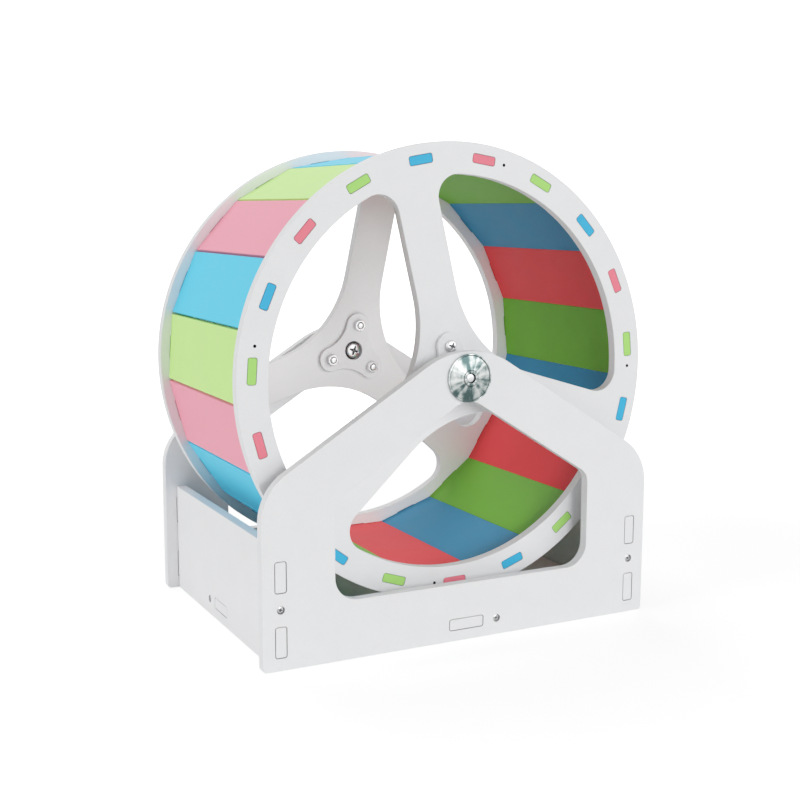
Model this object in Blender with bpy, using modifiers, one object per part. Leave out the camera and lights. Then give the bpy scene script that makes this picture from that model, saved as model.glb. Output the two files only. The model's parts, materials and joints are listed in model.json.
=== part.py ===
"""A hamster wheel on a stand of flat boards.

Two spoked discs carry a ring of flat coloured slats, whose tabs end flush in the discs' slots. A ball bearing
sits in each disc between two clamped hub plates, and turns on a screw that a wide flange nut holds in the frame.
Lengths are in metres. X runs along the frames, Y from front to rear and Z up, from the middle of the footprint.
Turns of the wheel count clockwise from the top, as seen from the front.
"""

import math

import bmesh
import bpy
from mathutils import Matrix

# Clearances and facets
seat_gap = 0.0003
slot_gap = 0.0002
shaft_gap = 0.0002
overrun = 0.002
facet_sag = 0.00008
weld_distance = 0.000001
smooth_below = math.radians(30)

# Wheel
wheel_radius = 0.105
disc_board = 0.005
ring_width = 0.0145
spoke_count = 3
spoke_width = 0.0205
hub_reach = 0.0207
window_corner_radius = 0.010
slat_count = 19
slat_board = 0.004
slat_span = 0.106
slat_tab_length = 0.0115
slat_seam = 0.0003
rim_over_slats = 0.005
brad_hole_radius = 0.0007
brad_slots = (1, 5, 10, 15)
rear_disc_slots_on = 1
wheel_turn = math.radians(-10.3)
spoke_offset_share = 1 / 6
brad_offset_share = 1 / 3

# Hub plates, with their screws and nuts
hub_plate_board = 0.002
hub_plate_bore_radius = 0.005
hub_bolt_circle_radius = 0.0137
hub_lobe_radius = 0.0064
hub_waist_radius = 0.0102
hub_screw_radius = 0.0015
hub_head_radius = 0.0028
hub_head_height = 0.002
hub_screw_end = 0.001
screw_chamfer = 0.0003
hub_nut_width = 0.0055
hub_nut_height = 0.0024

# Ball bearing
bearing_radius = 0.0065
bearing_width = 0.005
bearing_bore_radius = 0.0022
ball_count = 7
ball_radius = 0.0011
ball_circle_radius = 0.00425
ball_gap = 0.00015
race_shoulder = 0.0003
cage_wall = 0.001
cage_depth = 0.001
seal_thickness = 0.0004
seal_recess = 0.0002

# Axle screw and flange nut
axle_screw_radius = 0.002
axle_head_radius = 0.0039
axle_head_height = 0.0026
flange_radius = 0.011
flange_rim_height = 0.0009
flange_cone_rise = 0.0005
flange_rim_rounding = 0.0003
collar_radius = 0.0034
collar_height = 0.0005
barrel_wall = 0.0009
screw_end_depth = 0.0004

# Frames
frame_board = 0.005
roof_slope = math.radians(32)
peak_over_axle = 0.012
peak_radius = 0.040
shoulder_radius = 0.025
foot_radius = 0.002
roof_band = 0.0236
post_width = 0.034
sill_height = 0.027
window_peak_radius = 0.012
window_eaves_radius = 0.008
window_sill_radius = 0.011
head_clearance = 0.0044

# End panels and base panel
panel_board = 0.005
panel_height = 0.054
panel_inset = 0.006
panel_clear_of_wheel = 0.009
panel_tab_length = 0.0135
panel_low_tab_height = 0.0127
panel_high_tab_height = 0.0415
base_board = 0.005
base_height = 0.0053
base_clear_of_wheel = 0.0067
base_tab_length = 0.0175

# Panel screws
panel_screw_radius = 0.0009
panel_screw_length = 0.010
panel_screw_point = 0.002
panel_head_radius = 0.0016
panel_head_height = 0.0008
panel_head_depth = 0.0004
base_screw_beside_tab = 0.0075
bore_beyond_screw = 0.001

# Shares of the pieces that carry them
crown_share = 0.6
cross_reach_share = 0.55
cross_width_share = 0.2
cross_depth_share = 0.5
crown_steps = 3
groove_steps = 4
ball_segments = 8
ball_rings = 4
ring_steps = 14
flange_steps = 20
axle_screw_steps = 14
hub_screw_steps = 12
panel_screw_steps = 8

# Worked out from the sizes above
slot_pitch = 2 * math.pi / slat_count
spoke_pitch = 2 * math.pi / spoke_count
slat_circle_radius = wheel_radius - rim_over_slats - slat_board / 2
slat_width = 2 * (slat_circle_radius - slat_board / 2) * math.tan(slot_pitch / 2) - slat_seam
ring_inner_radius = wheel_radius - ring_width
disc_middle = (slat_span + disc_board) / 2
disc_outer_face = slat_span / 2 + disc_board
axle_height = base_height + base_board + base_clear_of_wheel + wheel_radius
side_gap = hub_plate_board + hub_head_height + 2 * seat_gap + head_clearance
frame_inner_face = disc_outer_face + side_gap
frame_outer_face = frame_inner_face + frame_board
frame_middle = frame_inner_face + frame_board / 2
panel_drop = axle_height - panel_height
wheel_at_panel = math.sqrt(wheel_radius ** 2 - panel_drop ** 2)
panel_inner_face = wheel_at_panel + panel_clear_of_wheel
panel_middle = panel_inner_face + panel_board / 2
panel_outer_face = panel_inner_face + panel_board
frame_half_width = panel_outer_face + panel_inset
roof_height = axle_height + peak_over_axle + peak_radius * (1 / math.cos(roof_slope) - 1)
window_roof_height = roof_height - roof_band / math.cos(roof_slope)
window_half_width = frame_half_width - post_width
base_middle = base_height + base_board / 2
panel_screw_height = (panel_low_tab_height + panel_high_tab_height) / 2
base_screw_place = base_tab_length / 2 + base_screw_beside_tab
barrel_radius = bearing_bore_radius + barrel_wall
hub_grip = disc_board + 2 * (hub_plate_board + 2 * seat_gap)
hub_screw_length = hub_grip + hub_nut_height + hub_screw_end

# Colours of the slats, clockwise from the one nearest the top
slat_colours = "blue pink green blue pink green blue pink green blue pink green blue blue pink green blue pink green"


def fresh_scene():
    """Removes what the scene holds, and makes the collections of the pieces and of the cutters."""
    for obj in list(bpy.data.objects):
        bpy.data.objects.remove(obj, do_unlink=True)
    for name in ("hamster_wheel", "cutters"):
        collection = bpy.data.collections.new(name)
        bpy.context.scene.collection.children.link(collection)


def finish(name, colour, roughness, metallic=0.0):
    """A plain material: one colour, roughness and metallic value."""
    material = bpy.data.materials.new(name)
    material.use_nodes = True
    shader = material.node_tree.nodes["Principled BSDF"]
    shader.inputs["Base Color"].default_value = (*colour, 1.0)
    shader.inputs["Roughness"].default_value = roughness
    shader.inputs["Metallic"].default_value = metallic
    material.diffuse_color = (*colour, 1.0)
    return material


def piece(name, mesh, material, parent=None, place=(0, 0, 0), turn=(0, 0, 0)):
    """One named sub-part, placed under its parent."""
    obj = bpy.data.objects.new(name, mesh)
    bpy.data.collections["hamster_wheel"].objects.link(obj)
    if not mesh.materials:
        mesh.materials.append(None)
    obj.material_slots[0].link = "OBJECT"
    obj.material_slots[0].material = material
    obj.parent = parent
    obj.location = place
    obj.rotation_euler = turn
    return obj


def pivot(name, place, turn=(0, 0, 0)):
    """An empty on an axis, which carries the pieces that share it."""
    empty = bpy.data.objects.new(name, None)
    bpy.data.collections["hamster_wheel"].objects.link(empty)
    empty.location = place
    empty.rotation_euler = turn
    return empty


def solid_mesh(source, name):
    """The mesh that an object evaluates to, welded, free of slivers and facing out. The object is removed."""
    bpy.context.view_layer.update()
    graph = bpy.context.evaluated_depsgraph_get()
    mesh = bpy.data.meshes.new_from_object(source.evaluated_get(graph))
    mesh.name = name
    bpy.data.objects.remove(source, do_unlink=True)
    shape = bmesh.new()
    shape.from_mesh(mesh)
    bmesh.ops.remove_doubles(shape, verts=shape.verts, dist=weld_distance)
    bmesh.ops.beautify_fill(shape, faces=shape.faces, edges=shape.edges)
    bmesh.ops.recalc_face_normals(shape, faces=shape.faces)
    shape.to_mesh(mesh)
    shape.free()
    mesh.shade_smooth()
    mesh.set_sharp_from_angle(angle=smooth_below)
    return mesh


def helper(name, data):
    """An object that is in the scene only while a mesh is worked out."""
    obj = bpy.data.objects.new(name, data)
    bpy.context.scene.collection.objects.link(obj)
    return obj


def steps_for(radius, sweep):
    """How many facets keep an arc within the facet sag."""
    widest = 2 * math.acos(1 - facet_sag / radius)
    return max(2, math.ceil(abs(sweep) / widest))


def arc(centre, radius, start, sweep):
    """Points on an arc, both ends included. Angles run from +X towards +Y."""
    count = steps_for(radius, sweep)
    angles = [start + sweep * i / count for i in range(count + 1)]
    return [(centre[0] + radius * math.cos(a), centre[1] + radius * math.sin(a)) for a in angles]


def circle(centre, radius):
    return arc(centre, radius, 0, 2 * math.pi)[:-1]


def box_outline(centre, width, height, turn=0.0):
    """A rectangle, turned clockwise about the origin after it is placed."""
    corners = [(-width / 2, -height / 2), (width / 2, -height / 2), (width / 2, height / 2), (-width / 2, height / 2)]
    return turned_round([(centre[0] + x, centre[1] + y) for x, y in corners], turn)


def turned_round(points, turn):
    """Points of an outline turned clockwise about the origin."""
    cosine, sine = math.cos(turn), math.sin(turn)
    return [(x * cosine + y * sine, y * cosine - x * sine) for x, y in points]


def rounded(corners):
    """A closed outline from corners (x, y, radius), given anticlockwise, each rounded by an arc."""
    points = []
    for i, (x, y, radius) in enumerate(corners):
        before, after = corners[i - 1], corners[(i + 1) % len(corners)]
        arrive = math.atan2(y - before[1], x - before[0])
        leave = math.atan2(after[1] - y, after[0] - x)
        sweep = (leave - arrive) % (2 * math.pi)
        setback = radius * math.tan(sweep / 2)
        start = (x - setback * math.cos(arrive), y - setback * math.sin(arrive))
        centre = (start[0] - radius * math.sin(arrive), start[1] + radius * math.cos(arrive))
        points += arc(centre, radius, arrive - math.pi / 2, sweep)
    return points


def edge_with_tabs(start, end, tabs):
    """A straight edge from start up to, but not including, end, with tabs (middle, length, height) on its right."""
    run, rise = end[0] - start[0], end[1] - start[1]
    length = math.hypot(run, rise)
    along, out = (run / length, rise / length), (rise / length, -run / length)
    points = [start]
    for middle, tab_length, height in tabs:
        near, far = middle - tab_length / 2, middle + tab_length / 2
        for distance, reach in ((near, 0), (near, height), (far, height), (far, 0)):
            x = start[0] + along[0] * distance + out[0] * reach
            y = start[1] + along[1] * distance + out[1] * reach
            points.append((x, y))
    return points


def board_mesh(name, outlines, thickness):
    """A flat board: the first outline is its edge and the others are its openings. It lies about its middle."""
    curve = bpy.data.curves.new(name, "CURVE")
    curve.dimensions = "2D"
    curve.fill_mode = "BOTH"
    curve.extrude = thickness / 2
    for outline in outlines:
        spline = curve.splines.new("POLY")
        spline.points.add(len(outline) - 1)
        for point, (x, y) in zip(spline.points, outline):
            point.co = (x, y, 0, 1)
        spline.use_cyclic_u = True
    return solid_mesh(helper(name, curve), name)


def turned_mesh(name, profile, steps, closed=False):
    """A profile of (radius, height), which runs down its outer side, turned about Z."""
    mesh = bpy.data.meshes.new(name)
    edges = [(i, i + 1) for i in range(len(profile) - 1)]
    if closed:
        edges.append((len(profile) - 1, 0))
    mesh.from_pydata([(radius, 0, height) for radius, height in profile], edges, [])
    blank = helper(name, mesh)
    screw = blank.modifiers.new("turn", "SCREW")
    screw.axis = "Z"
    screw.steps = steps
    screw.render_steps = steps
    screw.use_merge_vertices = True
    screw.merge_threshold = weld_distance
    return solid_mesh(blank, name)


def shape_joined(name, body, tool, operation):
    """The mesh of one body cut by, or joined to, another."""
    tool_object = helper(name + "_tool", tool)
    blank = helper(name, body)
    boolean = blank.modifiers.new("shape", "BOOLEAN")
    boolean.operation = operation
    boolean.solver = "EXACT"
    boolean.object = tool_object
    mesh = solid_mesh(blank, name)
    bpy.data.objects.remove(tool_object, do_unlink=True)
    return mesh


def cut(obj, bores):
    """Bores a board with one live Boolean. A bore is its entry, its way in and its steps (radius, from, to)."""
    shape = bmesh.new()
    for entry, way, steps in bores:
        profile = [(0, -steps[0][1])]
        for radius, near, far in steps:
            profile += [(radius, -near), (radius, -far)]
        profile.append((0, -steps[-1][2]))
        widest = max(radius for radius, near, far in steps)
        bore = turned_mesh("bore", profile, steps_for(widest, 2 * math.pi))
        bore.transform(Matrix.Translation(entry) @ (-way).to_track_quat("Z", "Y").to_matrix().to_4x4())
        shape.from_mesh(bore)
    mesh = bpy.data.meshes.new(obj.name + "_bores")
    shape.to_mesh(mesh)
    shape.free()
    cutter = bpy.data.objects.new(obj.name + "_bores", mesh)
    cutter.hide_render = True
    cutter.display_type = "WIRE"
    bpy.data.collections["cutters"].objects.link(cutter)
    boolean = obj.modifiers.new("bores", "BOOLEAN")
    boolean.operation = "DIFFERENCE"
    boolean.solver = "EXACT"
    boolean.object = cutter


def disc_window():
    """One window of a disc, between two spokes. Its middle lies straight up, and its near end bends round the hub."""
    half_spoke = spoke_width / 2
    half_turn = spoke_pitch / 2
    along = (math.sin(half_turn), math.cos(half_turn))
    inward = (-math.cos(half_turn), math.sin(half_turn))
    lift = 1 / math.sin(half_turn)
    root_radius = (hub_reach - half_spoke * lift) / (lift - 1)
    corner = window_corner_radius
    corner_run = math.sqrt((ring_inner_radius - corner) ** 2 - (half_spoke + corner) ** 2)
    corner_centre = (corner_run * along[0] + (half_spoke + corner) * inward[0],
                     corner_run * along[1] + (half_spoke + corner) * inward[1])
    outward = math.atan2(corner_centre[1], corner_centre[0])
    to_spoke = math.atan2(-inward[1], -inward[0])
    right = arc(corner_centre, corner, to_spoke, outward - to_spoke)
    ring = arc((0, 0), ring_inner_radius, outward, math.pi - 2 * outward)
    left = [(-x, y) for x, y in reversed(right)]
    root_centre = (0, (half_spoke + root_radius) * lift)
    root = arc(root_centre, root_radius, math.pi - to_spoke - 2 * math.pi, math.pi - 2 * half_turn)
    return right + ring[1:-1] + left + root


def disc_outlines(first_spoke, brad_turns):
    """The edge, windows, slots and holes of a disc, in the wheel's own turns."""
    outlines = [circle((0, 0), wheel_radius)]
    window = disc_window()
    for i in range(spoke_count):
        outlines.append(turned_round(window, first_spoke + spoke_pitch * (i + 0.5)))
        bolt = turned_round([(0, hub_bolt_circle_radius)], first_spoke + spoke_pitch * i)[0]
        outlines.append(circle(bolt, hub_screw_radius + shaft_gap))
    slot = (slat_tab_length + 2 * slot_gap, slat_board + 2 * slot_gap)
    for i in range(slat_count):
        outlines.append(box_outline((0, slat_circle_radius), *slot, slot_pitch * i))
    for turn in brad_turns:
        outlines.append(circle(turned_round([(0, slat_circle_radius)], turn)[0], brad_hole_radius))
    outlines.append(circle((0, 0), bearing_radius + shaft_gap))
    return outlines


def hub_plate_outlines(first_spoke):
    """A plate with three round lobes and hollow sides, its centre bore and its three screw holes."""
    inset = hub_lobe_radius - hub_waist_radius
    reach = (hub_bolt_circle_radius ** 2 - inset ** 2) / (hub_bolt_circle_radius + 2 * inset)
    hollow_radius = reach - hub_waist_radius
    lobe = (0, hub_bolt_circle_radius)
    hollow = turned_round([(0, reach)], spoke_pitch / 2)[0]
    lobe_start = math.atan2(hollow[1] - lobe[1], hollow[0] - lobe[0])
    lobe_points = arc(lobe, hub_lobe_radius, lobe_start, math.pi - 2 * lobe_start)
    half_hollow = (math.pi - spoke_pitch) / 2 - lobe_start
    waist_turn = 3 * math.pi / 2 - spoke_pitch / 2
    hollow_points = arc(hollow, hollow_radius, waist_turn + half_hollow, -2 * half_hollow)[1:-1]
    edge = []
    for i in range(spoke_count):
        turn = first_spoke - spoke_pitch * i
        edge += turned_round(lobe_points, turn)
        edge += turned_round(hollow_points, turn - spoke_pitch)
    outlines = [edge, circle((0, 0), hub_plate_bore_radius)]
    for i in range(spoke_count):
        bolt = turned_round([lobe], first_spoke + spoke_pitch * i)[0]
        outlines.append(circle(bolt, hub_screw_radius + shaft_gap))
    return outlines


def screw_mesh(name, radius, length, head_radius, head_height, tip, steps):
    """A screw along Z, with its seat at the origin and a crowned head above it. Its tip is a (radius, length)."""
    side = head_height * (1 - crown_share)
    profile = []
    for i in range(crown_steps + 1):
        angle = math.pi / 2 * i / crown_steps
        profile.append((head_radius * math.sin(angle), side + head_height * crown_share * math.cos(angle)))
    profile += [(head_radius, 0), (radius, 0), (radius, tip[1] - length)]
    if tip[0] > 0:
        profile.append((tip[0], -length))
    return turned_mesh(name, profile + [(0, -length)], steps)


def cross_recessed(name, body, head_radius, head_height):
    """A screw with a cross-shaped recess in its head."""
    reach, half_width = head_radius * cross_reach_share, head_radius * cross_width_share / 2
    quarter = [(half_width, half_width), (half_width, reach), (-half_width, reach)]
    cross = []
    for i in range(4):
        cross += turned_round(quarter, -math.pi / 2 * i)
    depth = head_height * cross_depth_share
    recess = board_mesh(name + "_recess", [cross], 2 * depth)
    recess.transform(Matrix.Translation((0, 0, head_height)))
    return shape_joined(name, body, recess, "DIFFERENCE")


def make_discs(wheel, board):
    """The two discs are one pattern: the rear one is turned over and set a slot further on."""
    spoke_offset = slot_pitch * spoke_offset_share
    brads = [slot_pitch * (slot + brad_offset_share) for slot in brad_slots]
    shift = slot_pitch * rear_disc_slots_on
    sides = (("front", -1, -spoke_offset, brads),
             ("rear", 1, spoke_offset + shift, [shift - turn for turn in brads]))
    for side, sign, first_spoke, brad_turns in sides:
        name = f"wheel_{side}_disc"
        mesh = board_mesh(name, disc_outlines(first_spoke, brad_turns), disc_board)
        piece(name, mesh, board, wheel, (0, sign * disc_middle, 0), (math.pi / 2, 0, 0))
    return {"front": sides[0][2], "rear": sides[1][2]}


def make_slats(wheel, colours):
    """Flat slats round the wheel, each with a tab at both ends that fills its slots to the discs' outer faces."""
    reach = disc_board + seat_gap
    half, end = slat_width / 2, slat_span / 2 - seat_gap
    tab = [(half, slat_tab_length, reach)]
    edge = edge_with_tabs((-half, -end), (half, -end), tab) + [(half, -end)]
    edge += edge_with_tabs((half, end), (-half, end), tab) + [(-half, end)]
    mesh = board_mesh("slat", [edge], slat_board)
    for i, colour in enumerate(slat_colours.split()):
        turn = slot_pitch * i
        place = (slat_circle_radius * math.sin(turn), 0, slat_circle_radius * math.cos(turn))
        piece(f"slat_{i + 1:02d}", mesh, colours[colour], wheel, place, (0, turn, 0))


def make_hubs(wheel, first_spokes, plate, steel):
    """On each disc, an outer and an inner plate, clamped by three screws with their nuts inside the wheel."""
    tip = (hub_screw_radius - screw_chamfer, screw_chamfer)
    blank = screw_mesh("hub_screw_blank", hub_screw_radius, hub_screw_length, hub_head_radius, hub_head_height, tip,
                       hub_screw_steps)
    screw = cross_recessed("hub_screw", blank, hub_head_radius, hub_head_height)
    outer_plate = disc_board / 2 + seat_gap + hub_plate_board / 2
    head_seat = outer_plate + hub_plate_board / 2 + seat_gap
    hexagon = [(hub_nut_width / math.sqrt(3) * math.cos(math.pi / 3 * i),
                hub_nut_width / math.sqrt(3) * math.sin(math.pi / 3 * i)) for i in range(6)]
    nut = board_mesh("hub_nut", [hexagon, circle((0, 0), hub_screw_radius + shaft_gap)], hub_nut_height)
    nut_middle = head_seat + hub_nut_height / 2
    for side, sign in (("front", -1), ("rear", 1)):
        first = first_spokes[side]
        outlines = hub_plate_outlines(first)
        for where, way in (("outer", sign), ("inner", -sign)):
            name = f"{side}_hub_{where}_plate"
            middle = sign * disc_middle + way * outer_plate
            mesh = board_mesh(name, outlines, hub_plate_board)
            piece(name, mesh, plate, wheel, (0, middle, 0), (math.pi / 2, 0, 0))
        for i in range(spoke_count):
            x, z = turned_round([(0, hub_bolt_circle_radius)], first + spoke_pitch * i)[0]
            seat = sign * (disc_middle + head_seat)
            piece(f"{side}_hub_screw_{i + 1}", screw, steel, wheel, (x, seat, z), (-sign * math.pi / 2, 0, 0))
            middle = sign * (disc_middle - nut_middle)
            piece(f"{side}_hub_nut_{i + 1}", nut, steel, wheel, (x, middle, z), (math.pi / 2, 0, 0))


def groove(radius, sign):
    """The ball groove of a race, as (radius, height) points that bulge away from the balls on the side of sign."""
    deep = ball_radius + ball_gap
    shoulder = radius - ball_circle_radius
    half = math.acos(abs(shoulder) / deep)
    angles = [half - 2 * half * i / groove_steps for i in range(groove_steps + 1)]
    return [(ball_circle_radius + sign * deep * math.cos(a), deep * math.sin(a)) for a in angles]


def make_bearings(wheel, sides, steel, cage):
    """In each disc: an outer ring with its seals, an inner ring, and the balls held by their cage."""
    half = bearing_width / 2
    outer_shoulder = ball_circle_radius + ball_radius - race_shoulder
    inner_shoulder = ball_circle_radius - ball_radius + race_shoulder
    seal_bore = inner_shoulder + shaft_gap
    seal_top, seal_back = half - seal_recess, half - seal_recess - seal_thickness
    upper = [(seal_bore, seal_top), (outer_shoulder, seal_top), (outer_shoulder, half), (bearing_radius, half)]
    lower = [(radius, -height) for radius, height in reversed(upper)]
    lower += [(seal_bore, -seal_back), (outer_shoulder, -seal_back)]
    inside = list(reversed(groove(outer_shoulder, 1)))
    outer = upper + lower + inside + [(outer_shoulder, seal_back), (seal_bore, seal_back)]
    outer_mesh = turned_mesh("bearing_outer_ring", outer, ring_steps, True)
    inner = [(bearing_bore_radius, half), (inner_shoulder, half)] + groove(inner_shoulder, -1)
    inner += [(inner_shoulder, -half), (bearing_bore_radius, -half)]
    inner_mesh = turned_mesh("bearing_inner_ring", inner, ring_steps, True)
    near, far, deep = ball_circle_radius - cage_wall / 2, ball_circle_radius + cage_wall / 2, cage_depth / 2
    band = turned_mesh("cage_band", [(near, deep), (far, deep), (far, -deep), (near, -deep)], ring_steps, True)
    shape = bmesh.new()
    for i in range(ball_count):
        x, y = turned_round([(0, ball_circle_radius)], 2 * math.pi * i / ball_count)[0]
        bmesh.ops.create_uvsphere(shape, u_segments=ball_segments, v_segments=ball_rings, radius=ball_radius,
                                  matrix=Matrix.Translation((x, y, 0)))
    balls = bpy.data.meshes.new("balls")
    shape.to_mesh(balls)
    shape.free()
    caged = shape_joined("balls_and_cage", band, balls, "UNION")
    for side, sign in (("front", -1), ("rear", 1)):
        place = (0, sign * disc_middle, 0)
        upright = (math.pi / 2, 0, 0)
        piece(f"{side}_bearing_outer_ring", outer_mesh, steel, wheel, place, upright)
        level = (0, -disc_middle, 0)
        piece(f"{side}_bearing_inner_ring", inner_mesh, steel, sides[side], level, upright)
        piece(f"{side}_bearing_balls_and_cage", caged, cage, sides[side], level, upright)


def make_axles(sides, steel, chrome):
    """In each frame: a wide flange nut whose barrel reaches the bearing, and the screw that draws them together."""
    bearing_face = disc_outer_face
    barrel_length = frame_outer_face - bearing_face - seat_gap
    base, rim_top = seat_gap, seat_gap + flange_rim_height
    cone_top = rim_top + flange_cone_rise
    collar_top = cone_top + collar_height
    profile = [(bearing_bore_radius, collar_top), (collar_radius - flange_rim_rounding, collar_top),
               (collar_radius, collar_top - flange_rim_rounding), (collar_radius, cone_top),
               (flange_radius - flange_rim_rounding, rim_top), (flange_radius, rim_top - flange_rim_rounding),
               (flange_radius, base), (barrel_radius, base), (barrel_radius, -barrel_length),
               (bearing_bore_radius, -barrel_length)]
    nut = turned_mesh("flange_nut", profile, flange_steps, True)
    head_seat = disc_outer_face - disc_board / 2 - bearing_width / 2 - seat_gap
    length = frame_outer_face + collar_top - screw_end_depth - head_seat
    tip = (axle_screw_radius - screw_chamfer, screw_chamfer)
    blank = screw_mesh("axle_screw_blank", axle_screw_radius, length, axle_head_radius, axle_head_height, tip,
                       axle_screw_steps)
    screw = cross_recessed("axle_screw", blank, axle_head_radius, axle_head_height)
    for side, parent in sides.items():
        piece(f"{side}_axle_flange_nut", nut, chrome, parent, (0, -frame_outer_face, 0), (math.pi / 2, 0, 0))
        piece(f"{side}_axle_screw", screw, steel, parent, (0, -head_seat, 0), (-math.pi / 2, 0, 0))


def sunk_bore(place, board):
    """The hole right through a board for a sunk screw: wide for its head, and then narrow for its shank."""
    floor = panel_head_depth + panel_head_height + seat_gap
    steps = [(panel_head_radius + shaft_gap, -overrun, floor), (panel_screw_radius + shaft_gap, floor, board + overrun)]
    return (*place, steps)


def edge_bore(place, board):
    """The bore in a panel's edge for a screw that comes through the board it meets."""
    end = panel_head_depth + panel_head_height + panel_screw_length + bore_beyond_screw
    return (*place, [(panel_screw_radius + shaft_gap, board - overrun / 2, end)])


def frame_screw_places(sign):
    """Where the three screws of a frame enter its outer face, and their way in."""
    face = sign * frame_outer_face
    spots = ((-panel_middle, panel_screw_height), (panel_middle, panel_screw_height), (base_screw_place, base_middle))
    return [(Matrix.Translation((x, face, z)).translation, Matrix.Translation((0, -sign, 0)).translation)
            for x, z in spots]


def panel_screw_place(sign):
    """Where the screw of an end panel enters its outer face, and its way in."""
    point = Matrix.Translation((sign * panel_outer_face, base_screw_place, base_middle)).translation
    return point, Matrix.Translation((-sign, 0, 0)).translation


def make_frames(board):
    """Two house-shaped frames with one large window each, slots for the panels' tabs, and the axle's hole."""
    shoulder = roof_height - frame_half_width * math.tan(roof_slope)
    eaves = window_roof_height - window_half_width * math.tan(roof_slope)
    edge = rounded([(-frame_half_width, 0, foot_radius), (frame_half_width, 0, foot_radius),
                    (frame_half_width, shoulder, shoulder_radius), (0, roof_height, peak_radius),
                    (-frame_half_width, shoulder, shoulder_radius)])
    window = rounded([(-window_half_width, sill_height, window_sill_radius),
                      (window_half_width, sill_height, window_sill_radius),
                      (window_half_width, eaves, window_eaves_radius), (0, window_roof_height, window_peak_radius),
                      (-window_half_width, eaves, window_eaves_radius)])
    outlines = [edge, window, circle((0, axle_height), barrel_radius + shaft_gap)]
    slot = (panel_board + 2 * slot_gap, panel_tab_length + 2 * slot_gap)
    for x in (-panel_middle, panel_middle):
        for height in (panel_low_tab_height, panel_high_tab_height):
            outlines.append(box_outline((x, height), *slot))
    outlines.append(box_outline((0, base_middle), base_tab_length + 2 * slot_gap, base_board + 2 * slot_gap))
    for side, sign in (("front", -1), ("rear", 1)):
        name = f"{side}_frame"
        mesh = board_mesh(name, outlines, frame_board)
        frame = piece(name, mesh, board, None, (0, sign * frame_middle, 0), (math.pi / 2, 0, 0))
        cut(frame, [sunk_bore(place, frame_board) for place in frame_screw_places(sign)])


def make_panels(board):
    """Two end panels with tabs in both frames, and the base panel with a tab in each of the four boards round it."""
    end = frame_inner_face - seat_gap
    reach = frame_board + seat_gap
    low, high = panel_low_tab_height, panel_high_tab_height
    rear_tabs = [(low, panel_tab_length, reach), (high, panel_tab_length, reach)]
    front_tabs = [(panel_height - high, panel_tab_length, reach), (panel_height - low, panel_tab_length, reach)]
    edge = [(-end, 0)] + edge_with_tabs((end, 0), (end, panel_height), rear_tabs) + [(end, panel_height)]
    edge += edge_with_tabs((-end, panel_height), (-end, 0), front_tabs)
    slot = box_outline((0, base_middle), base_tab_length + 2 * slot_gap, base_board + 2 * slot_gap)
    frame_places = {sign: frame_screw_places(sign) for sign in (-1, 1)}
    for i, (side, sign) in enumerate((("left", -1), ("right", 1))):
        name = f"{side}_end_panel"
        mesh = board_mesh(name, [edge, slot], panel_board)
        panel = piece(name, mesh, board, None, (sign * panel_middle, 0, 0), (math.pi / 2, 0, math.pi / 2))
        cut(panel, [sunk_bore(panel_screw_place(sign), panel_board), edge_bore(frame_places[-1][i], frame_board),
                    edge_bore(frame_places[1][i], frame_board)])
    side = panel_inner_face - seat_gap
    long_tab = [(side, base_tab_length, reach)]
    short_tab = [(end, base_tab_length, panel_board + seat_gap)]
    corners = [(-side, -end), (side, -end), (side, end), (-side, end)]
    edge = []
    for i, tabs in enumerate((long_tab, short_tab, long_tab, short_tab)):
        edge += edge_with_tabs(corners[i], corners[(i + 1) % 4], tabs)
    base = piece("base_panel", board_mesh("base_panel", [edge], base_board), board, None, (0, 0, base_middle))
    cut(base, [edge_bore(frame_places[sign][2], frame_board) for sign in (-1, 1)]
        + [edge_bore(panel_screw_place(sign), panel_board) for sign in (-1, 1)])


def make_panel_screws(steel):
    """Eight small sunk screws: three in each frame and one in each end panel."""
    screw = screw_mesh("panel_screw", panel_screw_radius, panel_screw_length, panel_head_radius, panel_head_height,
                       (0, panel_screw_point), panel_screw_steps)
    depth = panel_head_depth + panel_head_height
    for side, sign in (("front", -1), ("rear", 1)):
        for where, (point, way) in zip(("left", "right", "base"), frame_screw_places(sign)):
            seat = point + depth * way
            piece(f"{side}_frame_screw_{where}", screw, steel, None, seat, (-sign * math.pi / 2, 0, 0))
    for side, sign in (("left", -1), ("right", 1)):
        point, way = panel_screw_place(sign)
        seat = point + depth * way
        piece(f"{side}_panel_screw", screw, steel, None, seat, (0, sign * math.pi / 2, 0))


def main():
    fresh_scene()
    white = finish("white_board", (0.80, 0.81, 0.83), 0.45)
    colours = {"blue": finish("blue_board", (0.07, 0.50, 0.78), 0.5),
               "pink": finish("pink_board", (0.85, 0.20, 0.28), 0.5),
               "green": finish("green_board", (0.36, 0.68, 0.14), 0.5)}
    plate = finish("white_plate", (0.78, 0.79, 0.82), 0.3)
    steel = finish("bright_steel", (0.62, 0.62, 0.62), 0.25, 1.0)
    chrome = finish("chrome", (0.75, 0.77, 0.77), 0.08, 1.0)
    cage = finish("bearing_balls", (0.55, 0.55, 0.56), 0.2, 1.0)
    wheel = pivot("wheel_axis", (0, 0, axle_height), (0, wheel_turn, 0))
    sides = {"front": pivot("front_axle_axis", (0, 0, axle_height)),
             "rear": pivot("rear_axle_axis", (0, 0, axle_height), (0, 0, math.pi))}
    first_spokes = make_discs(wheel, white)
    make_slats(wheel, colours)
    make_hubs(wheel, first_spokes, plate, steel)
    make_bearings(wheel, sides, steel, cage)
    make_axles(sides, steel, chrome)
    make_frames(white)
    make_panels(white)
    make_panel_screws(steel)


main()
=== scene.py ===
"""The looks of a hamster wheel: its boards, slats, hub hardware and finishes, and the studio round it.

Lengths are in metres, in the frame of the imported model. Turns of the wheel count clockwise from the top, as
seen from the front. An outline is an array of rows (x, y, heading) with the material on its left hand.
"""

import json
import math

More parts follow.
